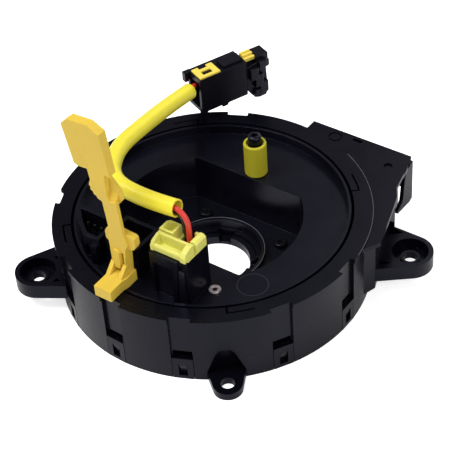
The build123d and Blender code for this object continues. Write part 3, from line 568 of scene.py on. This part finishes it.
def rings_along(line, radius, around):
    """Rings round a line: each point is the line's point plus radius times (cos a across + sin a upright).

    The upright direction leans from +Y at the start to +Z after a sixth of the points, so it never lies
    along the line."""
    ahead = np.gradient(line, axis=0)
    ahead /= np.linalg.norm(ahead, axis=1, keepdims=True)
    share = np.clip(np.linspace(0, 6, len(line)), 0, 1)[:, None]
    guide = (1 - share) * np.array([0.0, 1.0, 0.0]) + share * np.array([0.0, 0.0, 1.0])
    across = np.cross(ahead, guide)
    across /= np.linalg.norm(across, axis=1, keepdims=True)
    upright = np.cross(across, ahead)
    turn = (np.arange(around) * 2 * np.pi / around)[None, :, None]
    ring = np.cos(turn) * across[:, None, :] + np.sin(turn) * upright[:, None, :]
    return line[:, None, :] + radius * ring


def ring_faces(rows, around, closed, first=0):
    """Faces of a stack of rings whose corners are numbered row by row from a first number.

    Quads join neighbouring rings. A closed stack also joins its last ring to its first one; an open
    stack gets flat ends."""
    index = first + np.arange(rows * around).reshape(rows, around)
    low = index if closed else index[:-1]
    high = np.roll(index, -1, axis=0) if closed else index[1:]
    quads = np.stack([low, np.roll(low, -1, axis=1), np.roll(high, -1, axis=1), high], axis=-1).reshape(-1, 4)
    ends = [] if closed else [index[0][::-1].tolist(), index[-1].tolist()]
    return quads.tolist() + ends


def grid_piece(name, rings, closed, uv_rows):
    """Tube from rings, with a map of the distance along it and the turn round it."""
    rows, around = rings.shape[:2]
    mesh = bpy.data.meshes.new(name)
    mesh.from_pydata(rings.reshape(-1, 3).tolist(), [], ring_faces(rows, around, closed))
    layer = mesh.uv_layers.new(name="along")
    corner = np.empty(len(mesh.loops), dtype=np.int64)
    mesh.loops.foreach_get("vertex_index", corner)
    along = np.repeat(uv_rows, around)[corner]
    turned = np.abs((corner % around) / around - 0.5) * 2.0
    layer.data.foreach_set("uv", np.column_stack([along, turned]).ravel())
    mesh.shade_smooth()
    mesh.set_sharp_from_angle(angle=TUBE_ANGLE)
    return new_object(name, mesh)


def carried(outline, axis, start, stop):
    """Two rings of a prism: a flat outline whose third coordinate, along the axis, is first the start
    and then the stop."""
    rings = np.empty((2, len(outline), 3))
    rings[:, :, [k for k in range(3) if k != axis]] = np.array(outline)
    rings[:, :, axis] = [[start], [stop]]
    return rings


def boxed(x0, x1, y0, y1, z0, z1):
    """Two rings of a box given by its six faces."""
    return carried([(x0, y0), (x1, y0), (x1, y1), (x0, y1)], 2, z0, z1)


def cupped(outer, inner, low, high, floor):
    """Four rings of a cup: the outer outline at its foot and its rim, then the inner one at the rim and
    the floor."""
    return np.concatenate([carried(outer, 2, low, high), carried(inner, 2, high, floor)])


def formed_piece(name, parts, closed=False, turn=0.0, at=(0.0, 0.0)):
    """One mesh from several ring stacks given in millimetres, each open with flat ends or closed on itself.

    A point (x, y, z) goes to (a + x cos t - y sin t, b + x sin t + y cos t, z), with t the turn and
    (a, b) the place."""
    points, faces = [], []
    for rings in parts:
        faces += ring_faces(*rings.shape[:2], closed, first=sum(len(part) for part in points))
        points.append(rings.reshape(-1, 3))
    x, y, z = np.concatenate(points).T
    t = radians(turn)
    turned = np.column_stack([at[0] + x * np.cos(t) - y * np.sin(t),
                              at[1] + x * np.sin(t) + y * np.cos(t), z]) * 0.001
    mesh = bpy.data.meshes.new(name)
    mesh.from_pydata(turned.tolist(), [], faces)
    piece = new_object(name, mesh)
    face_out(piece)
    return piece


def round_edges(piece, edge, segments=2):
    """Rounds the edges that turn by more than the edge angle. Normals follow the larger faces, so flats
    stay flat."""
    piece.data.shade_smooth()
    piece.data.set_sharp_from_angle(angle=EDGE_ANGLE)
    bevel = piece.modifiers.new("edge", "BEVEL")
    bevel.width = edge
    bevel.segments = segments
    bevel.limit_method = "ANGLE"
    bevel.angle_limit = EDGE_ANGLE
    bevel.miter_outer = "MITER_ARC"
    flats = piece.modifiers.new("flats", "WEIGHTED_NORMAL")
    flats.keep_sharp = True
    flats.weight = 80


def length_of(line):
    """Distance along a line at each of its points."""
    steps = np.linalg.norm(np.diff(line, axis=0), axis=1)
    return np.concatenate([[0.0], np.cumsum(steps)])


def face_out(piece):
    """Turns a closed mesh's faces outward."""
    work = bmesh.new()
    work.from_mesh(piece.data)
    bmesh.ops.recalc_face_normals(work, faces=work.faces)
    work.to_mesh(piece.data)
    work.free()


def sleeve_piece(settings):
    """Hollow sleeve: rings out along the outside and back along the inside, joined at both mouths."""
    line = smooth_line("lead_sleeve", sleeve_route())
    outside = rings_along(line, settings.sleeve_diameter / 2, settings.around)
    inside = rings_along(line, settings.sleeve_diameter / 2 - settings.sleeve_wall, settings.around)
    rows = length_of(line) / settings.sleeve_diameter
    piece = grid_piece("sleeve_tube", np.concatenate([outside, inside[::-1]]), True,
                       np.concatenate([rows, rows[::-1]]))
    face_out(piece)
    return piece, line


def wire_piece(name, side, settings):
    """Round wire with flat ends."""
    line = smooth_line(name, wire_route(side))
    rings = rings_along(line, settings.wire_diameter / 2, settings.around // 2)
    piece = grid_piece(name + "_tube", rings, False, length_of(line) / settings.wire_diameter)
    face_out(piece)
    return piece, line


def guard_cutters():
    """Two upright prisms that take away the plain wall beside the box: one under the box top, one
    outside its edge."""
    under = [(38.9, 62.0), (38.9, 60.17), (39.87, 60.17), (47.47, 39.38), (54.0, 39.38), (54.0, 62.0)]
    beside = [(44.37, 62.0), (44.37, 61.33), (46.93, 53.0), (47.1, 50.2), (48.6, 43.4), (51.11, 39.38),
              (54.0, 39.38), (54.0, 62.0)]
    return [formed_piece("guard_cutter", [carried(outline, 2, 2.0, high)])
            for outline, high in ((under, 24.72), (beside, 27.5))]


def guard_piece():
    """Open guard beside the box: an upright plate cut off at a slant, two bridges to the box and a strip."""
    plate = [(59.6, 26.2), (57.6, 26.2), (57.0, 25.4), (55.0, 25.4), (53.6, 20.6), (52.6, 12.6), (50.6, 10.6),
             (48.8, 9.8), (49.2, 8.7), (57.7, 8.2), (59.6, 9.0)]
    high = [(40.5, 58.0), (45.0, 58.0), (45.0, 54.6), (41.7, 54.6)]
    corner = [(39.6, 60.2), (44.8, 60.2), (45.6, 58.6), (40.2, 58.6)]
    strip = [(45.5, 44.0), (47.9, 44.0), (48.3, 39.4), (47.2, 39.4)]
    return formed_piece("side_guard_form", [
        carried(plate, 0, 44.6, 46.1), carried(high, 2, 20.9, 25.3), carried(corner, 2, 13.0, 25.1),
        carried(strip, 2, 6.0, 25.1)])


def highlight_bead_piece(name, node, radius, height, start, stop, thickness):
    """Thin light bead along an edge, in the grey of a painted highlight: every point is a point of a level
    arc plus a small circle that stands across it."""
    full = stop - start >= 360
    turn = np.radians(np.linspace(start, stop, BEAD_STEPS + 1))[:BEAD_STEPS if full else None, None]
    lean = (np.arange(BEAD_AROUND) * 2 * np.pi / BEAD_AROUND)[None, :]
    out = radius + thickness / 2 * np.cos(lean)
    up = height + thickness / 2 * np.sin(lean) + 0 * turn
    rings = np.stack([out * np.cos(turn), out * np.sin(turn), up], axis=2)
    piece = grid_piece(name, rings, full, radius * (turn[:, 0] - turn[0, 0]) / thickness)
    face_out(piece)
    settle(piece, node, worn_edge(), takes_place=False)


def plug_piece():
    """Lime plug: a foot and a plate with a gap for the wires, a slotted bar between two caps, a hollow
    post behind it and a corner block beside the wires.

    Each part is a flat outline carried straight, or a cup."""
    low, high = PLUG_LOW, PLUG_HIGH
    foot = [(6.2, -38.6), (17.5, -38.6), (17.5, -29.4), (15.7, -29.4), (15.7, -32.4), (10.7, -32.4),
            (10.7, -29.4), (6.2, -29.4)]
    plate = [(4.6, -39.2), (19.1, -39.2), (19.1, -28.8), (15.7, -28.8), (15.7, -32.4), (10.7, -32.4),
             (10.7, -28.8), (4.6, -28.8)]
    sill = [(-39.9, low), (-39.9, low + 2.1), (-39.5, low + 2.6), (-38.7, low + 2.6), (-38.7, low)]
    cap = [(-40.3, low), (-40.3, low + 2.2), (-39.4, low + 3.6), (-36.6, high), (-35.0, high), (-35.0, low)]
    corner = [(16.6, low), (16.6, high - 0.3), (17.2, high), (18.3, high), (19.2, high - 0.9), (19.2, low)]
    post = [(4.2, -34.2), (9.7, -34.2), (9.7, -28.9), (5.2, -28.9), (4.2, -29.9)]
    hollow = [(5.1, -33.3), (8.8, -33.3), (8.8, -29.8), (5.7, -29.8), (5.1, -30.4)]
    return formed_piece("airbag_plug_form", [
        carried(foot, 2, low - 9.0, low + 0.3), carried(plate, 2, low, low + 0.6),
        carried(sill, 0, 5.0, 17.0), boxed(5.0, 18.0, -36.1, -35.05, low + 0.4, high - 0.02),
        carried(cap, 0, 4.8, 5.9), carried(cap, 0, 16.6, 18.7),
        cupped(post, hollow, low + 0.4, high, low + 1.6),
        carried(corner, 1, -34.3, -28.8), boxed(15.3, 17.0, -30.0, -28.8, low + 0.4, high - 0.5)])


def clip_piece():
    """Flat slide clip with a notch in one edge and a slot: the outer outline and the slot's, at both
    faces, in a loop."""
    low, high = CONNECTOR_TOP + 0.05, CONNECTOR_TOP + 0.85
    outer = [(0.3, 0.2), (9.0, 0.2), (9.0, 6.9), (6.4, 6.9), (6.4, 5.4), (3.0, 5.4), (3.0, 6.9), (0.3, 6.9)]
    slot = [(2.6, 1.6), (6.6, 1.6), (6.6, 3.3), (6.6, 3.9), (6.2, 3.9), (3.0, 3.9), (2.6, 3.9), (2.6, 3.3)]
    rings = np.concatenate([carried(outer, 2, low, high), carried(slot, 2, high, low)])
    return formed_piece("cpa_slider_form", [rings], closed=True, **CONNECTOR_PLACE)


def lock_piece():
    """Three yellow bars on one web, between the body's raised back and the head."""
    low = 44.35
    web = boxed(20.05, 24.4, 1.0, 5.2, low, low + 0.9)
    bars = [boxed(20.05, 24.4, side, side + 1.0, low + 0.3, high)
            for side, high in ((1.0, 45.9), (2.6, 46.6), (4.2, 46.6))]
    return formed_piece("terminal_lock_form", [web, *bars], **CONNECTOR_PLACE)


def nose_piece():
    """End piece: a square head over a stepped lower part, with lugs and a shoulder on its side."""
    lower = [(20.1, 32.3), (21.8, 29.4), (23.3, 27.9), (26.0, 27.6), (28.0, 28.8), (27.4, 30.4), (29.0, 33.1),
             (28.7, 39.3), (30.2, 39.7), (30.2, 42.3), (28.6, 44.1), (24.4, 42.9), (20.1, 42.1)]
    chin = [(22.4, 28.6), (24.6, 27.8), (27.4, 27.9), (28.4, 29.4), (27.6, 31.6), (23.0, 31.4)]
    return formed_piece("connector_nose_form", [
        carried(lower, 1, 0.2, 7.2), carried(chin, 1, -1.0, 0.6),
        boxed(21.0, 24.4, -1.4, 0.6, 36.6, 41.7), boxed(23.0, 26.6, -1.3, 0.6, 32.8, 38.2),
        boxed(25.0, 28.6, -1.2, 0.6, 29.4, 34.2), boxed(24.2, 29.8, 0.4, 6.2, 41.3, 45.5),
        boxed(24.8, 28.2, -1.6, 0.8, 40.9, 43.9)], **CONNECTOR_PLACE)


def back_cutters():
    """Three boxes that make the connector's raised back lower, and narrower on both sides."""
    top = CONNECTOR_TOP
    spare = [boxed(9.0, 20.6, -1.0, 9.4, top + 1.1, top + 4.0),
             boxed(9.1, 20.7, -1.1, 1.3, top + 0.05, top + 3.8),
             boxed(9.1, 20.7, 6.2, 9.5, top + 0.05, top + 3.8)]
    return [formed_piece("back_cutter", [rings], **CONNECTOR_PLACE) for rings in spare]


# Stage

def add_floor(settings):
    """Flat floor under the object."""
    half = settings.floor_size / 2
    low = float(CAD_BOX[0][2])
    corners = [(-half, -half, low), (half, -half, low), (half, half, low), (-half, half, low)]
    mesh = bpy.data.meshes.new("floor")
    mesh.from_pydata(corners, [], [(0, 1, 2, 3)])
    mesh.materials.append(floor_material())
    new_object("floor", mesh)


def add_lamp(name, place, size, power):
    """Square area lamp that looks at the object."""
    lamp = bpy.data.lights.new(name, "AREA")
    lamp.shape = "SQUARE"
    lamp.size = size
    lamp.energy = power
    away = np.array(place) - np.array(LAMP_TARGET)
    yaw = np.arctan2(away[0], -away[1])
    pitch = np.arctan2(np.hypot(away[0], away[1]), away[2])
    holder = new_object(name, lamp)
    holder.location = place
    holder.rotation_euler = (float(pitch), 0.0, float(yaw))


def add_lamps(settings):
    """Large lamp above on the left, one on the right and one behind, with an even sky that looks white."""
    for name, power, place, size in LAMPS:
        add_lamp(name, place, size, getattr(settings, power))
    world = bpy.data.worlds.new("even_light")
    bpy.context.scene.world = world
    world.use_nodes = True
    tree = world.node_tree
    tree.nodes.clear()
    plain = place_node(tree, "ShaderNodeBackground", Color=(1.0, 1.0, 1.0, 1.0), Strength=settings.sky)
    white = place_node(tree, "ShaderNodeBackground", Color=(1.0, 1.0, 1.0, 1.0), Strength=1.0)
    seen = tree.nodes.new("ShaderNodeLightPath")
    choice = tree.nodes.new("ShaderNodeMixShader")
    out = tree.nodes.new("ShaderNodeOutputWorld")
    tree.links.new(seen.outputs["Is Camera Ray"], choice.inputs[0])
    tree.links.new(plain.outputs[0], choice.inputs[1])
    tree.links.new(white.outputs[0], choice.inputs[2])
    tree.links.new(choice.outputs[0], out.inputs["Surface"])


def add_camera():
    """Camera at the photograph's place."""
    camera = bpy.data.cameras.new("camera")
    camera.lens = CAMERA_LENS
    camera.sensor_width = 36.0
    camera.clip_start = 0.01
    camera.clip_end = 50.0
    holder = new_object("camera", camera)
    holder.location = CAMERA_AT
    holder.rotation_euler = tuple(radians(angle) for angle in CAMERA_TURN)
    bpy.context.scene.camera = holder


# Operators

class CLOCKSPRING_OT_case(bpy.types.Operator):
    """Finish the upper case, the bottom cover and the plug-in block at the back"""
    bl_idname = "clockspring.case"
    bl_label = "Case"

    def execute(self, context):
        settings = context.scene.clockspring_moulding
        black = moulded_material("case_black", settings.case_colour, roughness=0.27, bump=0.10, dust_and_sheen=0.055,
                                 specular=0.19)
        rounded_solid("upper_case", black, settings.edge, cutters=guard_cutters())
        for node in ("bottom_cover", "rear_block"):
            rounded_solid(node, black, settings.edge)
        guard = guard_piece()
        round_edges(guard, settings.edge)
        settle(guard, "upper_case", black, takes_place=False)
        # a bead of painted highlight along the ring's outer edge
        highlight_bead_piece("ring_edge_bead", "upper_case", *RING_HIGHLIGHT_BEAD)
        return {"FINISHED"}


class CLOCKSPRING_OT_dish(bpy.types.Operator):
    """Finish the turning dish and its retaining ring"""
    bl_idname = "clockspring.dish"
    bl_label = "Dish"

    def execute(self, context):
        settings = context.scene.clockspring_moulding
        black = moulded_material("dish_black", settings.dish_colour, roughness=0.24, bump=0.08, dust_and_sheen=0.06,
                                 mark=True)
        for node in ("rotor", "retaining_ring"):
            rounded_solid(node, black, settings.edge)
        # a bead of painted highlight along the hub collar's rim
        highlight_bead_piece("hub_edge_bead", "rotor", *HUB_HIGHLIGHT_BEAD)
        return {"FINISHED"}


class CLOCKSPRING_OT_fasteners(bpy.types.Operator):
    """Finish the screws, the rivet, the contacts and the flat cable"""
    bl_idname = "clockspring.fasteners"
    bl_label = "Screws and contacts"

    def execute(self, context):
        steel = metal_material("rivet_steel", RIVET_STEEL, 0.34)
        # the contacts' plating is darkened as painted shade inside the sockets
        shaded_plating = metal_material("contact_plating", CONTACT_METAL_SHADED, 0.45)
        # the flat cable is black as painted shade for the slots it shows through
        shaded_film = moulded_material("cable_film", FILM_SHADE_BLACK, roughness=0.3, tone=0.05)
        dull = moulded_material("screw_black", SCREW_BLACK, roughness=0.3, specular=0.2)
        for node in ("hub_screw_1", "hub_screw_2"):
            rounded_solid(node, dull, SCREW_EDGE)
        rounded_solid("plate_rivet", steel, SCREW_EDGE)
        for node in frame["nodes"]:
            if slot_name(node) == "pin_metal":
                dressed_solid(node, shaded_plating)
        dressed_solid("flat_cable", shaded_film)
        return {"FINISHED"}


class CLOCKSPRING_OT_drive_pin(bpy.types.Operator):
    """Finish the drive pin and its soft sleeve"""
    bl_idname = "clockspring.drive_pin"
    bl_label = "Drive pin"

    def execute(self, context):
        settings = context.scene.clockspring_moulding
        black = moulded_material("drive_pin_black", PIN_BLACK, roughness=0.34)
        soft = moulded_material("drive_sleeve_yellow", settings.pin_colour, roughness=0.42, tone=0.08)
        rounded_solid("drive_pin", black, PIN_EDGE)
        rounded_solid("drive_sleeve", soft, PIN_SLEEVE_EDGE)
        return {"FINISHED"}


class CLOCKSPRING_OT_plug(bpy.types.Operator):
    """Finish the lime plug on the tall socket"""
    bl_idname = "clockspring.plug"
    bl_label = "Lime plug"

    def execute(self, context):
        settings = context.scene.clockspring_moulding
        lime = moulded_material("plug_lime", settings.plug_colour, roughness=0.45, tone=0.12, bump=0.06,
                                soft=0.15)
        plug = plug_piece()
        round_edges(plug, settings.edge * PLUG_SHARE)
        settle(plug, "airbag_plug", lime)
        return {"FINISHED"}


class CLOCKSPRING_OT_lead(bpy.types.Operator):
    """Lay the two wires and their sleeve from the plug to the connector"""
    bl_idname = "clockspring.lead"
    bl_label = "Lead"

    def execute(self, context):
        settings = context.scene.clockspring_lead
        tube, line = sleeve_piece(settings)
        yellow = cable_material("sleeve_yellow", settings.sleeve_colour, 0.38, stripe=0.6, soft=0.2)
        settle(tube, "lead_sleeve", yellow)
        for name, side, colour in (("red_wire", 1, settings.red_colour),
                                   ("black_wire", -1, settings.black_colour)):
            wire, line = wire_piece(name, side, settings)
            settle(wire, name, cable_material(name + "_insulation", colour, 0.33, stripe=0.3))
        return {"FINISHED"}


class CLOCKSPRING_OT_connector(bpy.types.Operator):
    """Finish the connector at the lead's end"""
    bl_idname = "clockspring.connector"
    bl_label = "Connector"

    def execute(self, context):
        settings = context.scene.clockspring_moulding
        black = moulded_material("connector_black", CONNECTOR_BLACK, roughness=0.32, bump=0.08, dust_and_sheen=0.05)
        yellow = moulded_material("clip_yellow", settings.clip_colour, roughness=0.42, tone=0.08)
        rounded_solid("connector_body", black, settings.edge * CONNECTOR_SHARE, cutters=back_cutters())
        for node, form, finish in (("connector_nose", nose_piece(), black),
                                   ("terminal_lock", lock_piece(), yellow),
                                   ("cpa_slider", clip_piece(), yellow)):
            round_edges(form, settings.edge * CLIP_SHARE)
            settle(form, node, finish)
        return {"FINISHED"}


class CLOCKSPRING_OT_lock_tab(bpy.types.Operator):
    """Finish the lock tab"""
    bl_idname = "clockspring.lock_tab"
    bl_label = "Lock tab"

    def execute(self, context):
        settings = context.scene.clockspring_moulding
        yellow = moulded_material("tab_yellow", settings.tab_colour, roughness=0.44, tone=0.07, soft=0.15)
        rounded_solid("lock_tab", yellow, settings.edge * TAB_SHARE, segments=3)
        return {"FINISHED"}


class CLOCKSPRING_OT_stage(bpy.types.Operator):
    """Set the floor, the lamps and the camera"""
    bl_idname = "clockspring.stage"
    bl_label = "Floor, lamps and camera"

    def execute(self, context):
        settings = context.scene.clockspring_stage
        add_floor(settings)
        add_lamps(settings)
        add_camera()
        context.scene.view_settings.view_transform = "Standard"
        return {"FINISHED"}


class CLOCKSPRING_PT_panel(bpy.types.Panel):
    """Pieces and settings of the clock spring"""
    bl_idname = "CLOCKSPRING_PT_panel"
    bl_label = "Clock Spring"
    bl_space_type = "VIEW_3D"
    bl_region_type = "UI"
    bl_category = "Clock Spring"

    def draw(self, context):
        layout = self.layout
        for group in (context.scene.clockspring_moulding, context.scene.clockspring_lead,
                      context.scene.clockspring_stage):
            box = layout.box()
            for name in group.__annotations__:
                box.prop(group, name)
        for operator in OPERATORS:
            layout.operator(operator.bl_idname)


SETTINGS = (MouldingSettings, LeadSettings, StageSettings)
OPERATORS = (CLOCKSPRING_OT_case, CLOCKSPRING_OT_dish, CLOCKSPRING_OT_fasteners, CLOCKSPRING_OT_drive_pin,
             CLOCKSPRING_OT_plug, CLOCKSPRING_OT_connector, CLOCKSPRING_OT_lead, CLOCKSPRING_OT_lock_tab,
             CLOCKSPRING_OT_stage)


def register():
    """Adds the settings, the operators and the panel."""
    for kind in (*SETTINGS, *OPERATORS, CLOCKSPRING_PT_panel):
        bpy.utils.register_class(kind)
    bpy.types.Scene.clockspring_moulding = PointerProperty(type=MouldingSettings)
    bpy.types.Scene.clockspring_lead = PointerProperty(type=LeadSettings)
    bpy.types.Scene.clockspring_stage = PointerProperty(type=StageSettings)


def unregister():
    """Removes them again."""
    del bpy.types.Scene.clockspring_stage
    del bpy.types.Scene.clockspring_lead
    del bpy.types.Scene.clockspring_moulding
    for kind in reversed((*SETTINGS, *OPERATORS, CLOCKSPRING_PT_panel)):
        bpy.utils.unregister_class(kind)


def main():
    """Runs every operator in order."""
    register()
    for operator in OPERATORS:
        group, name = operator.bl_idname.split(".")
        getattr(getattr(bpy.ops, group), name)()
    bpy.context.view_layer.update()


if __name__ == "__main__":
    main()
